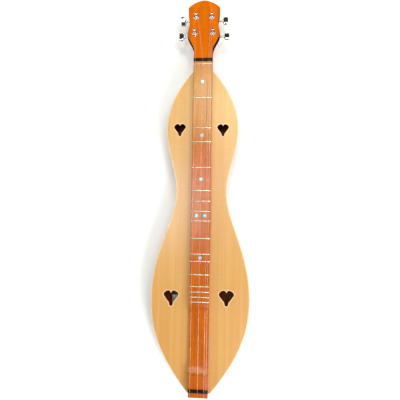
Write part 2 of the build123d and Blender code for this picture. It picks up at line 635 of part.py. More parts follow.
for name, (_, _, _, button_turn) in TUNERS.items():
    crownwards = worm_side(name)

    with BuildPart() as housing:
        with BuildSketch(tuner_plane(name, HOUSING_TOP)):
            with Locations((HOUSING_SHIFT[0], crownwards * HOUSING_SHIFT[1])):
                RectangleRounded(*HOUSING_SIZE, HOUSING_CORNER)
        extrude(amount=-HOUSING_DEPTH)
        fillet(housing.faces().sort_by(Axis.Z)[0].outer_wire().edges(), radius=HOUSING_ROUNDING)
        with BuildSketch(tuner_plane(name, HOUSING_TOP)):
            with Locations((0, -crownwards * EAR_REACH)):
                SlotOverall(*EAR_SIZE, rotation=90)
        extrude(amount=-PLATE_THICKNESS)
        with BuildSketch(shaft_plane(name, SLEEVE_START)):
            Circle(SLEEVE_RADIUS)
        extrude(amount=SLEEVE_LENGTH)
        with BuildSketch(tuner_plane(name, HOUSING_TOP - PLATE_THICKNESS)):
            Circle(WHEEL_PITCH_RADIUS + ADDENDUM + CHAMBER_GAP)
            with Locations((0, crownwards * WORM_OFFSET)):
                chamber_width = 2 * (WORM_RADIUS + ADDENDUM + CHAMBER_GAP)
                Rectangle(2 * (WORM_HALF_LENGTH + CHAMBER_END_GAP), chamber_width)
        extrude(amount=PLATE_THICKNESS + FLOOR_THICKNESS - HOUSING_DEPTH, mode=Mode.SUBTRACT)
        with BuildSketch(tuner_plane(name, HOUSING_TOP)):
            Circle(POST_RADIUS + RUNNING_GAP)
        extrude(amount=-PLATE_THICKNESS, mode=Mode.SUBTRACT)
        with BuildSketch(tuner_plane(name, HOUSING_TOP - HOUSING_DEPTH + FOOT_HOLE_DEPTH)):
            Circle(WHEEL_BORE + RUNNING_GAP)
        extrude(amount=FLOOR_THICKNESS, mode=Mode.SUBTRACT)
        with BuildSketch(shaft_plane(name, SHAFT_HOLE_START)):
            Circle(SHAFT_RADIUS + RUNNING_GAP)
        extrude(amount=SHAFT_HOLE_LENGTH, mode=Mode.SUBTRACT)
        with BuildSketch(tuner_plane(name, HOUSING_TOP)):
            with Locations((0, -crownwards * SCREW_OFFSET)):
                Circle(SCREW_RADIUS + JOINERY_GAP)
        extrude(amount=-PLATE_THICKNESS, mode=Mode.SUBTRACT)
    save(housing, f"tuner_housing_{name}")

    with BuildPart() as bushing:
        with BuildSketch(tuner_plane(name, WASHER_HEIGHT)):
            RegularPolygon(HEX_APOTHEM, 6, major_radius=False)
        extrude(amount=HEX_HEIGHT)
        chamfer(bushing.faces().sort_by(Axis.Z)[-1].edges(), length=HEX_CHAMFER)
        with BuildSketch(tuner_plane(name, WASHER_HEIGHT)):
            Circle(BUSHING_RADIUS)
        extrude(amount=-STEM_LENGTH)
        with BuildSketch(tuner_plane(name)):
            Circle(POST_RADIUS + RUNNING_GAP)
        extrude(amount=STEM_LENGTH, both=True, mode=Mode.SUBTRACT)
    save(bushing, f"tuner_bushing_{name}")

    with BuildPart() as post:
        post_frame = tuner_plane(name)
        with BuildSketch(Plane(post_frame.origin, x_dir=post_frame.x_dir, z_dir=-post_frame.y_dir)):
            with BuildLine():
                foot = HOUSING_TOP - HOUSING_DEPTH + FOOT_DEPTH
                seat = WHEEL_MIDDLE + WHEEL_WIDTH / 2 + WHEEL_SEAT_GAP
                neck = (POST_RADIUS, WINDING_BASE - POST_NECK_DROP)
                head_base = (POST_RADIUS, POST_HEAD_BASE)
                Polyline((0, foot), (WHEEL_BORE, foot), (WHEEL_BORE, seat), (POST_RADIUS, seat), neck)
                Spline(
                    neck, (POST_WAIST_RADIUS, WINDING_BASE),
                    (POST_WAIST_RADIUS, POST_WAIST_TOP), head_base,
                    tangents=[(0, 1), (0, 1)],
                )
                Line(head_base, POST_DOME[0])
                ThreePointArc(*POST_DOME)
                Polyline(POST_DOME[-1], (0, POST_TOP), (0, foot))
            make_face()
        revolve(axis=Axis(post_frame.origin, post_frame.z_dir))
        hole_frame = tuner_plane(name, STRING_HOLE_HEIGHT)
        with BuildSketch(Plane(hole_frame.origin, x_dir=hole_frame.x_dir, z_dir=hole_frame.y_dir)):
            Circle(STRING_HOLE_RADIUS)
        extrude(amount=2 * POST_RADIUS, both=True, mode=Mode.SUBTRACT)
    save(post, f"string_post_{name}")

    with BuildPart() as worm_wheel:
        wheel_frame = tuner_plane(name, WHEEL_MIDDLE)
        with BuildSketch(wheel_frame):
            Circle(WHEEL_PITCH_RADIUS + ADDENDUM)
            Circle(WHEEL_BORE + PRESS_GAP, mode=Mode.SUBTRACT)
        extrude(amount=WHEEL_WIDTH / 2, both=True)
        for tooth in range(WHEEL_TEETH):
            angle = 2 * pi * (tooth + 0.5) / WHEEL_TEETH
            outward = wheel_frame.x_dir * sin(angle) + wheel_frame.y_dir * (crownwards * cos(angle))
            across = wheel_frame.x_dir * cos(angle) - wheel_frame.y_dir * (crownwards * sin(angle))
            slant = wheel_frame.z_dir - across * (crownwards * LEAD_TILT)
            middle = wheel_frame.origin + outward * WHEEL_PITCH_RADIUS
            with BuildSketch(Plane(middle, x_dir=outward, z_dir=slant)):
                with BuildLine():
                    rim = ADDENDUM + TOOTH_GAP_OVERRUN
                    Polyline(
                        (-DEDENDUM, -TOOTH_GAP_ROOT), (rim, -TOOTH_GAP_TIP), (rim, TOOTH_GAP_TIP),
                        (-DEDENDUM, TOOTH_GAP_ROOT), close=True,
                    )
                make_face()
            extrude(amount=WHEEL_WIDTH, both=True, mode=Mode.SUBTRACT)
    save(worm_wheel, f"worm_wheel_{name}")

    wheelwards = tuner_plane(name).y_dir * -crownwards
    thread_start = shaft_plane(name, -1.5 * WORM_PITCH)
    thread_frame = Plane(thread_start.origin, x_dir=wheelwards, z_dir=thread_start.z_dir)
    thread_path = thread_frame.location * Helix(WORM_PITCH, 3 * WORM_PITCH, WORM_RADIUS)
    with BuildPart() as worm_shaft:
        with BuildSketch(Plane(thread_path @ 0, x_dir=wheelwards, z_dir=thread_path % 0)):
            with BuildLine():
                root = -DEDENDUM - THREAD_FOOT
                Polyline(
                    (root, -THREAD_ROOT), (ADDENDUM, -THREAD_TIP),
                    (ADDENDUM, THREAD_TIP), (root, THREAD_ROOT), close=True,
                )
            make_face()
        sweep(path=thread_path, is_frenet=True)
        with BuildSketch(shaft_plane(name, SHAFT_START)):
            Circle(SHAFT_RADIUS - PRESS_GAP)
        extrude(amount=BUTTON_REACH + SHAFT_END - SHAFT_START)
    save(worm_shaft, f"worm_shaft_{name}")

    with BuildPart() as button:
        shaft_frame = shaft_plane(name)
        turn = radians(button_turn)
        flat_side = shaft_frame.y_dir * cos(turn) + shaft_frame.x_dir * sin(turn)
        button_frame = Plane(shaft_frame.origin, x_dir=shaft_frame.z_dir, z_dir=flat_side)
        with BuildSketch(button_frame):
            with Locations((BUTTON_REACH, 0)):
                RectangleRounded(BUTTON_SIZE[0], BUTTON_SIZE[1], BUTTON_CORNER)
        extrude(amount=BUTTON_SIZE[2] / 2, both=True)
        flats = button.faces().filter_by(Axis(button_frame.origin, button_frame.z_dir))
        fillet(flats.edges(), radius=BUTTON_ROUNDING)
        with BuildSketch(shaft_plane(name, BUTTON_REACH + BUTTON_COLLAR_START)):
            Circle(BUTTON_COLLAR_RADIUS)
        extrude(amount=BUTTON_COLLAR_LENGTH)
        with BuildSketch(shaft_plane(name, BUTTON_REACH + BUTTON_BORE_START)):
            Circle(SHAFT_RADIUS)
        extrude(amount=BUTTON_BORE_END - BUTTON_BORE_START, mode=Mode.SUBTRACT)
    save(button, f"tuner_button_{name}")

    with BuildPart() as winding:
        string_radius = STRING_RADIUS[name]
        coil_frame = tuner_plane(name, WINDING_BASE + COIL_LIFT)
        core_radius = POST_WAIST_RADIUS + COIL_GAP
        coil_height = 2 * string_radius * WINDING_TURNS
        with BuildSketch(Plane(coil_frame.origin, x_dir=coil_frame.x_dir, z_dir=-coil_frame.y_dir)):
            for turn in range(WINDING_TURNS):
                with Locations((core_radius + string_radius, string_radius * (2 * turn + 1))):
                    Circle(string_radius)
            with Locations((core_radius, 0)):
                Rectangle(string_radius, coil_height, align=(Align.MIN, Align.MIN))
        revolve(axis=Axis(coil_frame.origin, coil_frame.z_dir))
        end_frame = tuner_plane(name, STRING_HOLE_HEIGHT)
        with BuildSketch(Plane(end_frame.origin, x_dir=end_frame.x_dir, z_dir=end_frame.y_dir)):
            Circle(string_radius)
        extrude(amount=POST_RADIUS + STRING_TAIL, both=True)
    save(winding, f"string_winding_{name}")

with BuildPart() as tuner_washers:
    for name in TUNERS:
        with BuildSketch(tuner_plane(name)):
            Circle(WASHER_RADIUS)
            Circle(BUSHING_RADIUS + JOINERY_GAP, mode=Mode.SUBTRACT)
        extrude(amount=WASHER_HEIGHT)
save(tuner_washers, "tuner_washers")

with BuildPart() as tuner_screws:
    for name in TUNERS:
        screw_place = (0, -worm_side(name) * SCREW_OFFSET)
        with BuildSketch(tuner_plane(name, HOUSING_TOP - PLATE_THICKNESS)):
            with Locations(screw_place):
                Circle(SCREW_HEAD_RADIUS)
        extrude(amount=-SCREW_HEAD_HEIGHT, taper=SCREW_HEAD_TAPER)
        with BuildSketch(tuner_plane(name, HOUSING_TOP - PLATE_THICKNESS)):
            with Locations(screw_place):
                Circle(SCREW_RADIUS)
        extrude(amount=SCREW_LENGTH)
save(tuner_screws, "tuner_screws")

# ---------------------------------------------------------------- strings

LOOP_PLACE = 687.4
LOOP_RADIUS = 1.4
TAIL_EDGE = (686.1, FRETBOARD_TOP + 0.6)
NUT_BREAK = -12.8
STRING_CLEARANCE = 0.05
BEND_RADII = (2.0, 6.0, 6.0, 6.0)
POST_CLEARANCE = 0.7
for name, string_x in STRING_X.items():
    radius = STRING_RADIUS[name]
    side, post_x, post_along, _ = TUNERS[name]
    wrap_x = side * (post_x - POST_WAIST_RADIUS - COIL_GAP - radius)
    wrap = HEAD_PLANE.from_local_coords(Vector(wrap_x, post_along, WINDING_BASE + COIL_LIFT + radius))
    nut_point = Vector(string_x, station(NUT_BREAK), ZERO_FRET_CREST + radius)
    end_gap = sqrt(4 * POST_WAIST_RADIUS * radius) + POST_CLEARANCE
    post_end = wrap - (wrap - nut_point).normalized() * end_gap
    with BuildPart() as string:
        with BuildLine() as route:
            FilletPolyline(
                (string_x, station(LOOP_PLACE), PIN_HEIGHT + LOOP_RADIUS),
                (string_x, station(TAIL_EDGE[0]), TAIL_EDGE[1]),
                (string_x, station(BRIDGE_BREAK), BRIDGE_CREST + radius + STRING_CLEARANCE),
                (string_x, station(0), ZERO_FRET_CREST + radius + STRING_CLEARANCE),
                nut_point,
                post_end,
                radius=BEND_RADII,
            )
        with BuildSketch(Plane(route.wire() @ 0, z_dir=route.wire() % 0)):
            Circle(radius)
        sweep(path=route.wire())
        loop_centre = (string_x, station(LOOP_PLACE), PIN_HEIGHT)
        with BuildSketch(Plane(loop_centre, x_dir=(0, 1, 0), z_dir=(1, 0, 0))):
            with Locations((0, LOOP_RADIUS)):
                Circle(radius)
        revolve(axis=Axis(loop_centre, (0, 1, 0)))
    save(string, f"string_{name}")
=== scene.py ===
import json
from math import asin, atan2, cos, pi, radians, sin

import bmesh
import bpy
from mathutils import Matrix, Vector


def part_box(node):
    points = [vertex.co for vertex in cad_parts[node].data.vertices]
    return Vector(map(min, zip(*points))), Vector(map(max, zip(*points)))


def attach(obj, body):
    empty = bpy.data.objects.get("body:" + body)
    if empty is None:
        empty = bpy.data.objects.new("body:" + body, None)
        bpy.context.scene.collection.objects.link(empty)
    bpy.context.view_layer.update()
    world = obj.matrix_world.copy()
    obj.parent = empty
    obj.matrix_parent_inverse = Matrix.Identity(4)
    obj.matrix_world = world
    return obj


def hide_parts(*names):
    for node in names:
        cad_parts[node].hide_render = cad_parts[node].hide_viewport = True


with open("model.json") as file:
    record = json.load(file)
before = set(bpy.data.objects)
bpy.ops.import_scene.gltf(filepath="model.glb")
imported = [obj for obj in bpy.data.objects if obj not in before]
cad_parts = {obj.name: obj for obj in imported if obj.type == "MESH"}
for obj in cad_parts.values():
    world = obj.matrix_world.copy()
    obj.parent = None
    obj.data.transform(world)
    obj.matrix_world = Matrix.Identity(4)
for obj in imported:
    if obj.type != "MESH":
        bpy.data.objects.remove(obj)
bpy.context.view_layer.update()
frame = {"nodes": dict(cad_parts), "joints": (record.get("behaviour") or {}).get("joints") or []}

# The dulcimer lies on its back on z = 0, headstock towards +Y, bass side at -X. Everything is in metres.
MM = 0.001
ACROSS = Vector((1, 0, 0))
STRING_X = {
    "bass": -16.0 * MM, "middle": -0.6 * MM, "melody_inner": 12.0 * MM, "melody_outer": 16.3 * MM,
}
STRING_RADIUS = {
    "bass": 0.28 * MM, "middle": 0.18 * MM, "melody_inner": 0.15 * MM, "melody_outer": 0.15 * MM,
}
# Degrees that each button is turned from flat, as the player left it.
BUTTON_TURN = {"bass": 0, "middle": 38, "melody_inner": 0, "melody_outer": 12}
JOINTS = {joint["name"]: joint for joint in frame["joints"]}
FACE_NORMAL = Vector(JOINTS["post_spin_bass"]["axis"]).normalized()
FACE_RUN = Vector((0, FACE_NORMAL.z, -FACE_NORMAL.y))


def rgb(code):
    """A linear colour from a six-digit sRGB code."""
    parts = [int(code[i:i + 2], 16) / 255 for i in (0, 2, 4)]
    linear = [p / 12.92 if p <= 0.04045 else ((p + 0.055) / 1.055) ** 2.4 for p in parts]
    return (*linear, 1.0)


# ---------------------------------------------------------------- materials

# A wave texture of this scale repeats once a metre.
WAVE_PER_METRE = 0.314
SILK_GLINT = (1, 0.93, 0.8, 1)
# A golden sheen painted onto the upper end of the fretboard, where light catches it. The board itself is
# one piece.
PAINTED_SHEEN_FILTER = (0.86, 1.0, 0.85, 1)
PAINTED_SHEEN_TONE = rgb("dba850")
SOFT_EDGE = 0.7 * MM
# The width of the painted shade line along a board's long edges.
BORDER_SHADE_WIDTH = 1.6 * MM
STREAK_HALF = 1.6 * MM
STREAK_CORE = 0.6 * MM
STREAK_TAPER = 20 * MM
STREAK_WOBBLE = 1.6 * MM


class Finish:
    """A Principled material whose nodes are added one call at a time."""

    def __init__(self, name, **constants):
        self.material = bpy.data.materials.new(name)
        self.material.use_nodes = True
        self.tree = self.material.node_tree
        self.shader = self.tree.nodes["Principled BSDF"]
        for socket, value in constants.items():
            self.shader.inputs[socket.replace("_", " ")].default_value = value
        self.place = self.node("TexCoord").outputs["Object"]

    def node(self, kind, inputs=(), **settings):
        made = self.tree.nodes.new("ShaderNode" + kind)
        for key, value in settings.items():
            setattr(made, key, value)
        for socket, value in dict(inputs).items():
            self.feed(made.inputs[socket], value)
        return made

    def feed(self, socket, value):
        if isinstance(value, bpy.types.NodeSocket):
            self.tree.links.new(value, socket)
        else:
            socket.default_value = value

    def scaled(self, scale, source=None, turn=(0, 0, 0), shift=(0, 0, 0)):
        """The object's coordinates, or others, stretched so that a pattern runs along the grain."""
        inputs = {"Vector": source or self.place, "Scale": scale, "Rotation": turn, "Location": shift}
        return self.node("Mapping", inputs).outputs["Vector"]

    def noise(self, scale, detail=3.0, roughness=0.55, source=None, warp=0.0):
        """A noise value, with this many periods in a metre along each axis."""
        inputs = {
            "Vector": self.scaled(scale, source), "Scale": 1.0, "Detail": detail,
            "Roughness": roughness, "Distortion": warp,
        }
        return self.node("TexNoise", inputs).outputs["Fac"]

    def maths(self, operation, first, second=0.5):
        return self.node("Math", {0: first, 1: second}, operation=operation).outputs[0]

    def remap(self, value, low, high, to_low=0.0, to_high=1.0):
        """The value mapped from one range to another, and clamped there."""
        inputs = {
            "Value": value, "From Min": low, "From Max": high, "To Min": to_low, "To Max": to_high,
        }
        return self.node("MapRange", inputs).outputs["Result"]

    def mix(self, amount, first, second, blend="MIX"):
        made = self.node("Mix", data_type="RGBA", blend_type=blend)
        for socket, value in ((made.inputs[0], amount), (made.inputs[6], first), (made.inputs[7], second)):
            self.feed(socket, value)
        return made.outputs[2]

    def mirrored(self):
        """Coordinates folded at the centre line, so that two halves match like an opened book."""
        split = self.node("SeparateXYZ", {"Vector": self.place})
        inputs = {
            "X": self.maths("ABSOLUTE", split.outputs["X"]),
            "Y": split.outputs["Y"],
            "Z": split.outputs["Z"],
        }
        return self.node("CombineXYZ", inputs).outputs[0]

    def moved(self, source, **offsets):
        """Coordinates pushed along X or Z by other values, so that straight lines waver."""
        push = self.node("CombineXYZ", offsets).outputs[0]
        return self.node("VectorMath", {0: source, 1: push}, operation="ADD").outputs[0]

    def edges(self, radius, flat=0.985, sharp=0.86):
        """1 along sharp edges and 0 on flat ground, and the rounded normal that shows them soft."""
        rounded = self.node("Bevel", {"Radius": radius}, samples=6).outputs["Normal"]
        facing = self.node("NewGeometry").outputs["Normal"]
        dot = self.node("VectorMath", {0: rounded, 1: facing}, operation="DOT_PRODUCT").outputs["Value"]
        return self.remap(dot, flat, sharp), rounded

    def finish(self, colour, roughness, height, depth, normal=None, strength=1.0):
        """Joins colour, roughness and a height map, this many metres deep, to the shader."""
        self.feed(self.shader.inputs["Base Color"], colour)
        self.feed(self.shader.inputs["Roughness"], roughness)
        inputs = {"Height": height, "Distance": depth, "Strength": strength}
        if normal:
            inputs["Normal"] = normal
        self.feed(self.shader.inputs["Normal"], self.node("Bump", inputs).outputs["Normal"])
        return self.material


def quartered(name, early, late, spacing, shade, roughness=(0.34, 0.5), fold=True, edge_wear_and_highlight=None,
              rim=SOFT_EDGE, **constants):
    """Straight-grained wood: fine rings across X, broad tone streaks, silky flecks and fibres."""
    wood = Finish(name, **constants)
    ground = wood.mirrored() if fold else wood.place
    bend = wood.noise((14, 1.6, 14), 2.0, source=ground)
    waved = wood.moved(ground, X=wood.remap(bend, 0, 1, -0.006, 0.006))
    rings = wood.node("TexWave", {
        "Vector": wood.scaled((1, 0.02, 1), waved), "Scale": WAVE_PER_METRE / spacing,
        "Distortion": 1.6, "Detail": 2.0, "Detail Scale": 0.4,
    }, wave_type="BANDS", bands_direction="X", wave_profile="SAW").outputs["Fac"]
    latewood = wood.remap(wood.maths("POWER", rings, 3.0), 0.1, 1.0, 0.0, 0.75)
    streaks = wood.noise((170, 1.1, 60), 4.0, 0.6, waved)
    drift = wood.noise((22, 3.0, 22), 3.0, source=waved)
    silk = wood.noise((90, 900, 90), 2.0, source=waved)
    fibres = wood.noise((3600, 55, 3600), 2.0, source=ground)
    colour = wood.mix(latewood, early, late)
    colour = wood.mix(wood.remap(streaks, 0.36, 0.68, 0.0, 0.62), colour, shade, "MULTIPLY")
    colour = wood.mix(wood.remap(drift, 0.3, 0.75, 0.0, 0.5), colour, shade, "MULTIPLY")
    colour = wood.mix(wood.remap(silk, 0.52, 0.8, 0.0, 0.07), colour, SILK_GLINT, "SCREEN")
    colour = wood.mix(wood.remap(fibres, 0.3, 0.75, 0.12, 0.0), colour, late)
    _, soft_normal = wood.edges(SOFT_EDGE)
    # Pale edges: partly rubbed wear, partly a painted highlight; on the top a wide painted highlight runs
    # round the hearts and outline.
    edge, _ = wood.edges(rim, 0.998, 0.95)
    rub_and_highlight = wood.maths("MULTIPLY", edge, wood.noise((60, 60, 60), 3.0))
    colour = wood.mix(wood.remap(rub_and_highlight, 0.1, 0.4, 0.0, 0.8), colour, edge_wear_and_highlight or early)
    rough = wood.remap(wood.maths("ADD", fibres, drift), 0.6, 1.4, *roughness)
    height = wood.maths("ADD", fibres, latewood)
    return wood.finish(colour, rough, height, 0.04 * MM, soft_normal, 0.5)


def figured(name, pale, deep, dark, tilt, centre=(0.004, -0.03), wall_shade_and_stain=None, streak=None,
            painted_sheen_span=None, border_shade=None, **constants):
    """Plain-sawn cherry: ring cylinders cut at a slant, streaks, short pores and a rippled shimmer.

    tilt and centre place the heart of the tree. The wall shade colours upright faces with painted shade,
    partly darker stain in the end grain; the border shade paints a shade line along the long edges.
    streak is a mineral line (x, y start, y end), and the sheen span the y range of a painted golden sheen.
    """
    wood = Finish(name, **constants)
    shifted = wood.scaled((1, 1, 1), turn=(tilt, 0, 0.012), shift=(centre[0], 0, centre[1]))
    warp = wood.noise((16, 2.2, 16), 2.0, source=shifted)
    waved = wood.moved(
        shifted, X=wood.remap(warp, 0, 1, -0.008, 0.008), Z=wood.remap(warp, 0, 1, 0.006, -0.006))
    rings = wood.node("TexWave", {
        "Vector": wood.scaled((1, 0.05, 1), waved), "Scale": 72.0, "Distortion": 3.0,
        "Detail": 3.0, "Detail Scale": 0.7,
    }, wave_type="RINGS", rings_direction="Y", wave_profile="SAW").outputs["Fac"]
    growth = wood.remap(wood.maths("POWER", rings, 2.2), 0.0, 1.0, 0.0, 0.8)
    streaks = wood.noise((360, 2.0, 150), 4.0, 0.62, waved)
    clouds = wood.noise((30, 7, 30), 3.0, source=waved)
    ripple = wood.noise((34, 240, 34), 2.0, source=waved, warp=0.5)
    pores = wood.node("TexVoronoi", {
        "Vector": wood.scaled((2300, 95, 2300)), "Scale": 1.0, "Randomness": 1.0,
    }, feature="F1").outputs["Distance"]
    pore = wood.remap(pores, 0.16, 0.3, 1.0, 0.0)
    colour = wood.mix(growth, pale, deep)
    colour = wood.mix(wood.remap(streaks, 0.4, 0.72, 0.0, 0.7), colour, deep, "MIX")
    colour = wood.mix(wood.remap(clouds, 0.35, 0.75, 0.0, 0.6), colour, deep, "MIX")
    colour = wood.mix(wood.remap(ripple, 0.5, 0.78, 0.0, 0.14), colour, pale, "SCREEN")
    colour = wood.mix(wood.maths("MULTIPLY", pore, 0.42), colour, dark)
    colour = wood.mix(wood.remap(streaks, 0.58, 0.74, 0.0, 0.4), colour, dark)
    split = wood.node("SeparateXYZ", {"Vector": wood.place})
    # Painted sheen: a golden tone towards the headstock end of the board, where light catches it.
    if painted_sheen_span:
        share = wood.remap(split.outputs["Y"], *painted_sheen_span)
        colour = wood.mix(share, colour, PAINTED_SHEEN_FILTER, "MULTIPLY")
        colour = wood.mix(wood.maths("MULTIPLY", share, 0.22), colour, PAINTED_SHEEN_TONE)
    if streak:
        x, start, stop = streak
        wobble = wood.remap(wood.noise((12, 18, 12), 3.0), 0, 1, -STREAK_WOBBLE, STREAK_WOBBLE)
        away = wood.maths("ABSOLUTE", wood.maths("SUBTRACT", split.outputs["X"], x))
        stripe = wood.remap(wood.maths("ADD", away, wobble), STREAK_HALF, STREAK_CORE)
        fade_in = wood.remap(split.outputs["Y"], start, start + STREAK_TAPER)
        fade_out = wood.remap(split.outputs["Y"], stop, stop - STREAK_TAPER)
        span = wood.maths("MULTIPLY", fade_in, fade_out)
        line = wood.maths("MULTIPLY", wood.maths("MULTIPLY", stripe, span), 0.65)
        colour = wood.mix(line, colour, dark)
    edge, soft_normal = wood.edges(0.8 * MM)
    # Paler edges: partly rubbed wear, partly a painted highlight on the rounded edges.
    rub_and_highlight = wood.maths("MULTIPLY", edge, wood.noise((70, 70, 70), 3.0))
    colour = wood.mix(wood.remap(rub_and_highlight, 0.28, 0.6, 0.0, 0.5), colour, pale)
    # Painted shade: a dark line along the long edges, where the board meets the top.
    if border_shade:
        line, _ = wood.edges(BORDER_SHADE_WIDTH, 0.998, 0.93)
        colour = wood.mix(wood.maths("MULTIPLY", line, 0.85), colour, border_shade)
    handling = wood.noise((40, 25, 40), 4.0)
    rough = wood.remap(wood.maths("ADD", handling, streaks), 0.7, 1.3, 0.2, 0.34)
    # Painted shade on upright faces, partly darker stain in the end grain: they take a near-black colour
    # and turn matte.
    if wall_shade_and_stain:
        normal = wood.node("SeparateXYZ", {"Vector": wood.node("NewGeometry").outputs["Normal"]})
        upright = wood.remap(wood.maths("ABSOLUTE", normal.outputs["Z"]), 0.75, 0.35)
        colour = wood.mix(upright, colour, wall_shade_and_stain)
        rough = wood.maths("MAXIMUM", rough, upright)
    height = wood.maths("SUBTRACT", growth, pore)
    return wood.finish(colour, rough, height, 0.03 * MM, soft_normal, 0.45)


def metal(name, tint, tarnish, roughness, scratch=(900, 900, 900), smudge=60, pitch=None,
          depth=0.006 * MM, metallic=1.0):
    """Plated or drawn metal with scratches, finger smudges and a duller tone in places.

    A pitch winds fine wire around Y.
    """
    plate = Finish(name, Metallic=metallic)
    scratches = plate.noise(scratch, 3.0, 0.7)
    smudges = plate.noise((smudge,) * 3, 4.0, 0.6, warp=0.6)
    edge, soft_normal = plate.edges(0.3 * MM)
    colour = plate.mix(plate.remap(smudges, 0.42, 0.75, 0.0, 0.8), tint, tarnish)
    colour = plate.mix(plate.remap(scratches, 0.55, 0.8, 0.0, 0.25), colour, tarnish)
    colour = plate.mix(plate.maths("MULTIPLY", edge, 0.5), colour, tint)
    handling = plate.maths("ADD", smudges, plate.maths("MULTIPLY", scratches, 0.5))
    rough = plate.remap(handling, 0.5, 1.1, *roughness)
    height = scratches
    if pitch:
        wound = plate.node("TexWave", {
            "Vector": plate.place, "Scale": WAVE_PER_METRE / pitch,
        }, wave_type="BANDS", bands_direction="Y").outputs["Fac"]
        height = plate.maths("ADD", wound, plate.maths("MULTIPLY", scratches, 0.1))
        colour = plate.mix(plate.remap(wound, 0.0, 0.35, 0.7, 0.0), colour, tarnish)
    return plate.finish(colour, rough, height, depth, soft_normal)


def abalone():
    """Shell inlay: folded bands of green, blue and rose under a polished coat."""
    shell = Finish("pearl", Coat_Weight=0.5, Coat_Roughness=0.08, Specular_IOR_Level=0.5)
    folds = shell.node("TexWave", {
        "Vector": shell.place, "Scale": 60.0, "Distortion": 14.0, "Detail": 3.0, "Detail Scale": 1.2,
    }, bands_direction="DIAGONAL").outputs["Fac"]
    ramp = shell.node("ValToRGB", {"Fac": folds})
    stops = (
        (0.0, rgb("1fa6bd")), (0.25, rgb("6fd8e0")), (0.45, rgb("c9f3ee")),
        (0.65, rgb("52bfe0")), (0.82, rgb("b9a6dc")), (1.0, rgb("36a894")),
    )
    while len(ramp.color_ramp.elements) < len(stops):
        ramp.color_ramp.elements.new(0.5)
    for element, (position, colour) in zip(ramp.color_ramp.elements, stops):
        element.position, element.color = position, colour
    clouds = shell.noise((420, 420, 420), 4.0, 0.6, warp=1.2)
    pale = shell.remap(clouds, 0.52, 0.7, 0.0, 0.7)
    colour = shell.mix(pale, ramp.outputs["Color"], rgb("dff6f8"))
    return shell.finish(colour, shell.remap(clouds, 0.3, 0.7, 0.12, 0.3), folds, 0.02 * MM)


def paper():
    """A blank maker's slip: fibres, foxing and edges gone brown."""
    sheet = Finish("paper", Specular_IOR_Level=0.2, Sheen_Weight=0.1)
    fibres = sheet.noise((900, 420, 900), 4.0, 0.7, warp=0.8)
    foxing = sheet.noise((70, 70, 70), 3.0)
    colour = sheet.mix(sheet.remap(fibres, 0.35, 0.7, 0.0, 0.6), rgb("fdfcf8"), rgb("eee9dc"))
    colour = sheet.mix(sheet.remap(foxing, 0.62, 0.78, 0.0, 0.5), colour, rgb("cdb990"))
    edge, soft_normal = sheet.edges(0.4 * MM)
    colour = sheet.mix(sheet.maths("MULTIPLY", edge, 0.4), colour, rgb("b99c6a"))
    rough = sheet.remap(fibres, 0.3, 0.7, 0.8, 0.95)
    return sheet.finish(colour, rough, fibres, 0.04 * MM, soft_normal)


def ebony():
    """Near-black wood with faint brown lines and open pores, rubbed to a dull shine."""
    wood = Finish("ebony", Specular_IOR_Level=0.15)
    lines = wood.noise((120, 900, 900), 3.0, 0.6)
    pores = wood.noise((500, 4200, 4200), 2.0)
    colour = wood.mix(wood.remap(lines, 0.45, 0.75, 0.0, 0.7), rgb("0a0807"), rgb("1d1410"))
    edge, soft_normal = wood.edges(0.5 * MM)
    colour = wood.mix(wood.maths("MULTIPLY", edge, 0.35), colour, rgb("3a2c22"))
    rough = wood.remap(lines, 0.3, 0.7, 0.28, 0.42)
    return wood.finish(colour, rough, pores, 0.03 * MM, soft_normal, 0.6)


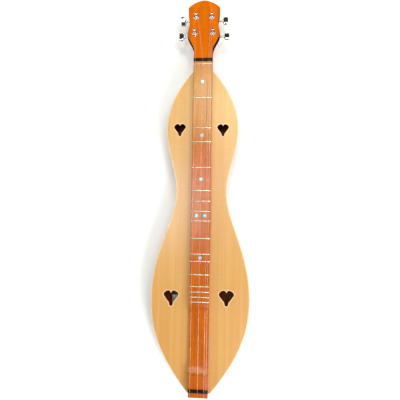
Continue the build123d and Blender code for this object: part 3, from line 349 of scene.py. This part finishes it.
MATERIALS = {
    "spruce_top": quartered(
        "spruce_top", rgb("d2a562"), rgb("be8b47"), 1.6 * MM, rgb("f2d8a8"), (0.3, 0.42),
        # the pale 3 mm rim round the hearts and outline is a painted highlight
        edge_wear_and_highlight=rgb("fff0cc"), rim=3.0 * MM,
        Specular_IOR_Level=0.6, Coat_Weight=0.4, Coat_Roughness=0.28),
    "inner_spruce": quartered(
        "inner_spruce", rgb("c9a06c"), rgb("a3743f"), 2.2 * MM, rgb("e6d2b4"), (0.6, 0.8), fold=False),
    "cherry_head": figured(
        # upright faces: painted shade, partly darker end-grain stain
        "cherry_head", rgb("dc7408"), rgb("c35605"), rgb("7a2f06"), tilt=0.16, wall_shade_and_stain=rgb("1a0803"),
        Specular_IOR_Level=0.12, Specular_Tint=(1, 0.78, 0.4, 1)),
    "cherry_fretboard": figured(
        "cherry_fretboard", rgb("c66607"), rgb("a24702"), rgb("6a2404"), tilt=0.03,
        # the border colour is a painted shade line along the long edges
        # the sheen span is a painted golden sheen at the board's upper end
        centre=(0.006, -0.05), streak=(0.0094, 0.13, 0.24), painted_sheen_span=(0.07, 0.16), border_shade=rgb("7a3208"),
        Specular_IOR_Level=0.5, Coat_Weight=0.2, Coat_Roughness=0.22),
    "cherry_back": figured(
        "cherry_back", rgb("a85224"), rgb("7e3714"), rgb("401a0a"), tilt=0.02, centre=(0.03, 0.09),
        Coat_Weight=0.2, Coat_Roughness=0.2),
    "cherry_side": figured(
        "cherry_side", rgb("b05a26"), rgb("863d16"), rgb("48200e"), tilt=0.02, centre=(0.0, 0.2),
        Coat_Weight=0.3, Coat_Roughness=0.15),
    "ebony": ebony(),
    "pearl": abalone(),
    "paper": paper(),
    "fret_wire": metal(
        "fret_wire", rgb("efe6d2"), rgb("c4b89c"), (0.2, 0.34), (60, 2600, 2600), metallic=0.8),
    "brass_pin": metal("brass_pin", rgb("dcb866"), rgb("8f6c2e"), (0.16, 0.34)),
    "wound_string": metal(
        "wound_string", rgb("e2cb9a"), rgb("9a7e4e"), (0.25, 0.4), pitch=0.28 * MM, depth=0.05 * MM,
        metallic=0.8),
    "plain_string": metal(
        "plain_string", rgb("f0efec"), rgb("b4b3b0"), (0.2, 0.32), (900, 40, 900), metallic=0.7),
    "brass_wheel": metal("brass_wheel", rgb("cfa755"), rgb("7d5f2a"), (0.25, 0.45)),
    "steel_shaft": metal("steel_shaft", rgb("cfd0d1"), rgb("8d8f92"), (0.18, 0.34), (60, 2600, 2600)),
    "chrome": metal("chrome", rgb("eceef0"), rgb("c2c6ca"), (0.03, 0.13), smudge=90),
}

for cad_piece in frame["nodes"].values():
    for place in cad_piece.material_slots:
        place.material = MATERIALS[place.material.name]


# ---------------------------------------------------------------- helpers for new pieces

def piece(name, mesh_or_curve, slot, body, *replaced):
    """Adds an object that rides on a body, wears a slot's finish and stands for CAD nodes."""
    made = bpy.data.objects.new(name, mesh_or_curve)
    bpy.context.scene.collection.objects.link(made)
    made.data.materials.append(MATERIALS[slot])
    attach(made, body)
    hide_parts(*replaced)
    return made


def mesh_from(rings, closed_ring=True, capped=True):
    """A mesh skinned over rings of points that all have the same count."""
    bm = bmesh.new()
    rows = [[bm.verts.new(point) for point in ring] for ring in rings]
    count = len(rows[0])
    for low, high in zip(rows, rows[1:]):
        for i in range(count if closed_ring else count - 1):
            j = (i + 1) % count
            bm.faces.new((low[i], low[j], high[j], high[i]))
    if capped:
        bm.faces.new(reversed(rows[0]))
        bm.faces.new(rows[-1])
    bmesh.ops.recalc_face_normals(bm, faces=bm.faces)
    for face in bm.faces:
        face.smooth = True
    mesh = bpy.data.meshes.new("skin")
    bm.to_mesh(mesh)
    bm.free()
    return mesh


def add_strand(curve, points, kind="POLY"):
    """Another strand in a curve, through the points or, as NURBS, drawn towards them."""
    spline = curve.splines.new(kind)
    spline.points.add(len(points) - 1)
    for control, point in zip(spline.points, points):
        control.co = (*point, 1.0)
    return spline


def wire(points, radius, order=0):
    """A round wire along the points, as a bevelled curve; order makes it a NURBS curve."""
    curve = bpy.data.curves.new("wire", "CURVE")
    curve.dimensions = "3D"
    curve.bevel_depth = radius
    curve.bevel_resolution = 3
    curve.use_fill_caps = True
    spline = add_strand(curve, points, "NURBS" if order else "POLY")
    if order:
        spline.order_u = order
        spline.use_endpoint_u = True
        spline.resolution_u = 6
    return curve


# ---------------------------------------------------------------- frets

FRETBOARD_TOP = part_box("fretboard")[1].z
FRET_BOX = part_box("frets")
SCALE_LENGTH = 660.4 * MM
ZERO_FRET_Y = 268.24 * MM
FRET_STEPS = (0, 2, 4, 5, 7, 9, 10, 11, 12, 14, 16, 17, 19, 21, 22, 23, 24)
FRET_HEIGHT = 1.0 * MM
CROWN_HALF = 1.1 * MM
CROWN_POINTS = 9
CROWN_LIP = 0.12 * MM
TANG_HALF = 0.33 * MM
TANG_DEPTH = 1.2 * MM
# Each end of a fret is filed over this length: how far along it, and the share of the full section.
END_BEVEL = 1.3 * MM
END_SHARES = ((0, 0.12), (0.15, 0.35), (0.45, 0.68), (0.8, 0.9), (1.0, 1.0))


def fret_rings(y, crest):
    """Sections of one fret wire from end to end, its ends filed to a slope and rounded over."""
    stations = [(inset * END_BEVEL - FRET_BOX[1].x, share) for inset, share in END_SHARES]
    stations += [(-x, share) for x, share in reversed(stations)]
    base = FRETBOARD_TOP + CROWN_LIP
    for x, share in stations:
        crown = []
        for i in range(CROWN_POINTS):
            angle = pi * i / (CROWN_POINTS - 1)
            crown.append((
                x, y - cos(angle) * CROWN_HALF * (0.7 + 0.3 * share),
                FRETBOARD_TOP + CROWN_LIP * share + sin(angle) * (crest - base) * share))
        tang_z = FRETBOARD_TOP - TANG_DEPTH
        yield crown + [(x, y + TANG_HALF, tang_z), (x, y - TANG_HALF, tang_z)]


def joined(meshes, name):
    """One mesh made of several."""
    bm = bmesh.new()
    for mesh in meshes:
        bm.from_mesh(mesh)
        bpy.data.meshes.remove(mesh)
    whole = bpy.data.meshes.new(name)
    bm.to_mesh(whole)
    bm.free()
    return whole


def fret_place(steps):
    """The Y of the fret that raises an open string by this many semitones."""
    return ZERO_FRET_Y - SCALE_LENGTH * (1 - 2 ** (-steps / 12))


fret_meshes = []
for steps in FRET_STEPS:
    crest = FRET_BOX[1].z if steps == 0 else FRETBOARD_TOP + FRET_HEIGHT
    fret_meshes.append(mesh_from(list(fret_rings(fret_place(steps), crest))))
piece("fret_wires", joined(fret_meshes, "fret_wires"), "fret_wire", "instrument", "frets")

# ---------------------------------------------------------------- tuner buttons

BUTTON_HALF = Vector((6.2, 10.0, 4.3)) * MM
BUTTON_SEGMENTS = 48
BUTTON_RINGS = 22
# The powers that round a button's outline and its section.
OUTLINE_POWER = 4.2
OUTLINE_ROOT = 3.2
SECTION_POWER = 2.25
END_SHARE_ACROSS = 0.3
END_SHARE_THICK = 0.22
DISH_DEPTH = 0.10
DISH_HALF = 0.75
INNER_PINCH = 0.05
COLLAR_SEGMENTS = 32
# The collar's profile from the shaft outwards: place along the axle from the button's end, and radius.
COLLAR_PROFILE = (
    (-1.35, 2.1), (-1.3, 3.1), (-1.0, 3.45), (-0.5, 3.5), (0.1, 3.1), (0.5, 2.6), (1.5, 2.4),
)


def superellipse(angle, power):
    """A point of a unit superellipse."""
    c, s = cos(angle), sin(angle)
    return (abs(c) ** (2 / power) * (1 if c >= 0 else -1), abs(s) ** (2 / power) * (1 if s >= 0 else -1))


def lathe(profile):
    """A mesh turned about X from (x, radius) pairs."""
    angles = [2 * pi * i / COLLAR_SEGMENTS for i in range(COLLAR_SEGMENTS)]
    return mesh_from([[(x, r * cos(angle), r * sin(angle)) for angle in angles] for x, r in profile])


def button_mesh():
    """A cast button: an oval barrel whose axis is the shaft, dished on its two faces, with a collar."""
    rings = []
    for k in range(BUTTON_RINGS + 1):
        slide = -1 + 2 * k / BUTTON_RINGS
        swell = (1 - abs(slide) ** OUTLINE_POWER) ** (1 / OUTLINE_ROOT)
        pinch = 1.0 - INNER_PINCH * (1 - slide) / 2
        ring = []
        for i in range(BUTTON_SEGMENTS):
            across, thick = superellipse(2 * pi * i / BUTTON_SEGMENTS, SECTION_POWER)
            dish = 1.0 - DISH_DEPTH * (1 - min(1.0, abs(across) / DISH_HALF) ** 2)
            width = END_SHARE_ACROSS + (1 - END_SHARE_ACROSS) * swell
            depth = END_SHARE_THICK + (1 - END_SHARE_THICK) * swell
            ring.append((
                slide * BUTTON_HALF.x,
                across * BUTTON_HALF.y * width * pinch,
                thick * BUTTON_HALF.z * depth * dish,
            ))
        rings.append(ring)
    collar = lathe([(x * MM - BUTTON_HALF.x, radius * MM) for x, radius in COLLAR_PROFILE])
    return joined([mesh_from(rings), collar], "button")


for string_name, turn in BUTTON_TURN.items():
    low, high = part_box(f"tuner_button_{string_name}")
    side = 1 if low.x > 0 else -1
    axle = Vector(JOINTS[f"button_spin_{string_name}"]["pos_m"])
    tip = high.x if side > 0 else low.x
    out = ACROSS * side
    frame_turn = Matrix((out, FACE_NORMAL.cross(out), FACE_NORMAL)).transposed().to_4x4()
    spin = Matrix.Rotation(-radians(turn), 4, out)
    centre = Vector((tip - side * BUTTON_HALF.x, axle.y, axle.z))
    cast = button_mesh()
    cast.transform(Matrix.Translation(centre) @ spin @ frame_turn)
    piece(
        f"button_{string_name}_cast", cast, "chrome", f"button_{string_name}",
        f"tuner_button_{string_name}")

# ---------------------------------------------------------------- strings and their windings

POST_WAIST = 2.5 * MM
WINDING_BASE = 4.6 * MM
HOLE_HEIGHT = 9.2 * MM
TURNS = 4.25
STEPS_PER_TURN = 28
# How far a winding climbs in one turn, in string radii.
RISE_PER_TURN = 2.04
# The end of a string from its last turn through the post's hole: across and along the headstock in mm,
# and the share of the climb to the hole.
STRING_END = (
    (0.9, 2.95, 0.3), (1.3, 3.4, 0.65), (0.8, 3.9, 0.95), (0.1, 3.6, 1.0), (0, 2.6, 1.0),
    (0, 0, 1.0), (0, -3.4, 1.0), (0.1, -4.3, 1.0), (0.3, -4.9, 1.12),
)
PIN_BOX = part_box("hitch_pins")
PIN_HEIGHT = (PIN_BOX[0].z + PIN_BOX[1].z) / 2
LOOP_DISTANCE = 687.4 * MM
LOOP_RADIUS = 1.4 * MM
LOOP_STEPS = 24
TAIL_EDGE_DISTANCE = 686.1 * MM
TAIL_EDGE_RISE = 0.6 * MM
TWIST_START = 1.0 * MM
TWIST_LENGTH = 9.0 * MM
TWIST_TURNS = 7
TWIST_STEPS = 12
TWIST_REACH = 1.7
BRIDGE_DISTANCE = 670.2 * MM
BRIDGE_CREST = 75.0 * MM
ZERO_FRET_CREST = 71.2 * MM
NUT_BREAK = -12.8 * MM
LIFT = 0.05 * MM
BEND_REACH = 2.4 * MM
BEND_STEPS = 7


def station(distance):
    """The Y of a place this far from the zero fret towards the tail."""
    return ZERO_FRET_Y - distance


def on_post(string_name, x, y, height):
    """A point beside a tuner's post: across the headstock, along it, and above its face."""
    foot = Vector(JOINTS[f"post_spin_{string_name}"]["pos_m"])
    return foot + ACROSS * x + FACE_RUN * y + FACE_NORMAL * height


def rounded(corners):
    """The corner points of a route, each inner corner replaced by a short curve."""
    route = [corners[0]]
    for before, corner, after in zip(corners, corners[1:], corners[2:]):
        entry, leave = (
            corner + (end - corner).normalized() * min(BEND_REACH, (end - corner).length / 2.5)
            for end in (before, after))
        for i in range(BEND_STEPS + 1):
            t = i / BEND_STEPS
            route.append(entry * (1 - t) ** 2 + corner * (2 * t * (1 - t)) + leave * t ** 2)
    return route + [corners[-1]]


def winding_points(string_name, radius, side, nut_point):
    """A winding from where its string arrives, up the post and out through the hole."""
    coil_radius = POST_WAIST + radius
    from_post = nut_point - on_post(string_name, 0, 0, 0)
    across, along = -from_post.x, -from_post.dot(FACE_RUN)
    distance = Vector((across, along)).length
    heading = atan2(across, along) - side * asin(coil_radius / distance)
    start = pi - heading if side > 0 else -heading
    points = []
    for step in range(int(TURNS * STEPS_PER_TURN) + 1):
        turns = step / STEPS_PER_TURN
        angle = start - side * 2 * pi * turns
        height = WINDING_BASE + radius * (1 + RISE_PER_TURN * turns)
        points.append(on_post(string_name, coil_radius * cos(angle), coil_radius * sin(angle), height))
    top = WINDING_BASE + radius * (1 + RISE_PER_TURN * TURNS)
    for x, y, climbed in STRING_END:
        height = top + (HOLE_HEIGHT - top) * climbed
        points.append(on_post(string_name, side * x * MM, y * MM, height))
    return points


def add_loop_end(strand, x, radius, rise):
    """The ring round the hitch pin, and the string's tail twisted round its start."""
    pin = Vector((x, station(LOOP_DISTANCE), PIN_HEIGHT))
    ring = []
    for step in range(LOOP_STEPS + 1):
        angle = 2 * pi * step / LOOP_STEPS
        ring.append(pin + Vector((LOOP_RADIUS * sin(angle), 0, LOOP_RADIUS * cos(angle))))
    add_strand(strand, ring)
    sideways = rise.cross(ACROSS)
    foot = pin + Vector((0, 0, LOOP_RADIUS))
    twist = []
    for step in range(TWIST_TURNS * TWIST_STEPS + 1):
        angle = 2 * pi * step / TWIST_STEPS
        along = TWIST_START + TWIST_LENGTH * step / (TWIST_TURNS * TWIST_STEPS)
        offset = ACROSS * cos(angle) + sideways * sin(angle)
        twist.append(foot + rise * along + offset * radius * TWIST_REACH)
    add_strand(strand, twist)


for string_name, radius in STRING_RADIUS.items():
    slot = "wound_string" if string_name == "bass" else "plain_string"
    side = 1 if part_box(f"string_post_{string_name}")[0].x > 0 else -1
    x = STRING_X[string_name]
    nut_point = Vector((x, station(NUT_BREAK), ZERO_FRET_CREST + radius))
    coil = winding_points(string_name, radius, side, nut_point)
    piece(
        f"winding_{string_name}", wire(coil, radius, 3), slot, f"post_{string_name}",
        f"string_winding_{string_name}")

    corners = [
        Vector((x, station(LOOP_DISTANCE), PIN_HEIGHT + LOOP_RADIUS)),
        Vector((x, station(TAIL_EDGE_DISTANCE), FRETBOARD_TOP + TAIL_EDGE_RISE)),
        Vector((x, station(BRIDGE_DISTANCE), BRIDGE_CREST + radius + LIFT)),
        Vector((x, station(0), ZERO_FRET_CREST + radius + LIFT)),
        nut_point,
        coil[0],
    ]
    strand = wire(rounded(corners), radius)
    add_loop_end(strand, x, radius, (corners[1] - corners[0]).normalized())
    piece(f"strung_{string_name}", strand, slot, "instrument", f"string_{string_name}")

# ---------------------------------------------------------------- floor, light and camera

CAMERA_PLACE = Vector((0.03346, -0.04658, 0.67028))
CAMERA_TURN = (-0.04584, -0.058417, -0.013399)
LENS = 26.245
FLOOR_HALF = 6
DOME_STRENGTH = 1.4
DOME_DARK_STRENGTH = 0.05
# The dome is dark this near to the plane x = 0 and fully bright from the second distance outwards.
DARK_WITHIN = 0.4
BRIGHT_BEYOND = 0.6
# Each lamp: name, place, target, width, height, power and colour.
LAMPS = (
    ("key", (0.36, 0.2, 1.15), (0.0, -0.05, 0.0), 0.3, 0.3, 3.3, (1, 1, 1)),
    ("sheen", (0.07, 0.66, 1.25), (0.0, 0.15, 0.0), 0.4, 0.33, 4.6, (1, 0.95, 0.62)),
    ("left_fill", (-0.25, 0.03, 1.25), (0.0, 0.0, 0.0), 0.44, 0.35, 3.8, (0.78, 0.92, 1.0)),
    ("low_fill", (0.55, -0.85, 0.9), (-0.05, -0.25, 0.0), 0.4, 0.4, 7.5, (1, 1, 1)),
)


def add_floor():
    """A plain pale floor."""
    edge = FLOOR_HALF
    mesh = mesh_from(
        [[(-edge, -edge, 0), (edge, -edge, 0)], [(-edge, edge, 0), (edge, edge, 0)]],
        closed_ring=False, capped=False)
    floor = bpy.data.objects.new("floor", mesh)
    bpy.context.scene.collection.objects.link(floor)
    ground = Finish("floor", Specular_IOR_Level=0.1)
    mottle = ground.noise((3, 3, 3), 2.0)
    colour = ground.mix(mottle, (0.91, 0.935, 0.945, 1), (0.93, 0.955, 0.965, 1))
    floor.data.materials.append(ground.finish(colour, 0.9, mottle, 0.01 * MM))


def add_dome():
    """A dome that lights from both sides, dark between them, and looks plain white itself."""
    world = bpy.data.worlds.new("studio")
    bpy.context.scene.world = world
    world.use_nodes = True
    nodes, links = world.node_tree.nodes, world.node_tree.links
    sideways = nodes.new("ShaderNodeVectorMath")
    sideways.operation = "MULTIPLY"
    sideways.inputs[1].default_value = ACROSS
    links.new(nodes.new("ShaderNodeTexCoord").outputs["Generated"], sideways.inputs[0])
    aside = nodes.new("ShaderNodeVectorMath")
    aside.operation = "LENGTH"
    links.new(sideways.outputs["Vector"], aside.inputs[0])
    dome = nodes.new("ShaderNodeMapRange")
    dome.inputs["From Min"].default_value = DARK_WITHIN
    dome.inputs["From Max"].default_value = BRIGHT_BEYOND
    dome.inputs["To Min"].default_value = DOME_DARK_STRENGTH
    dome.inputs["To Max"].default_value = DOME_STRENGTH
    links.new(aside.outputs["Value"], dome.inputs["Value"])
    seen = nodes.new("ShaderNodeMix")
    links.new(nodes.new("ShaderNodeLightPath").outputs["Is Camera Ray"], seen.inputs[0])
    links.new(dome.outputs["Result"], seen.inputs[2])
    seen.inputs[3].default_value = 1.0
    links.new(seen.outputs[0], nodes["Background"].inputs["Strength"])
    nodes["Background"].inputs["Color"].default_value = (1, 1, 1, 1)


def add_lamp(name, place, target, width, height, power, colour):
    """A rectangular softbox that faces its target."""
    lamp = bpy.data.lights.new(name, "AREA")
    lamp.shape = "RECTANGLE"
    lamp.size, lamp.size_y = width, height
    lamp.energy = power
    lamp.color = colour
    stand = bpy.data.objects.new(name, lamp)
    bpy.context.scene.collection.objects.link(stand)
    stand.location = place
    stand.rotation_euler = (Vector(target) - Vector(place)).to_track_quat("-Z", "Y").to_euler()


def add_camera():
    camera = bpy.data.objects.new("camera", bpy.data.cameras.new("camera"))
    bpy.context.scene.collection.objects.link(camera)
    camera.data.lens = LENS
    camera.data.sensor_width = 36
    camera.data.clip_start = 10 * MM
    turn_x, turn_y, turn_z = (
        Matrix.Rotation(-angle, 4, axis) for angle, axis in zip(CAMERA_TURN, "XYZ"))
    camera.matrix_world = Matrix.Translation(CAMERA_PLACE) @ turn_x @ turn_y @ turn_z
    bpy.context.scene.camera = camera
    bpy.context.scene.view_settings.view_transform = "Standard"


add_floor()
add_dome()
for lamp_settings in LAMPS:
    add_lamp(*lamp_settings)
add_camera()
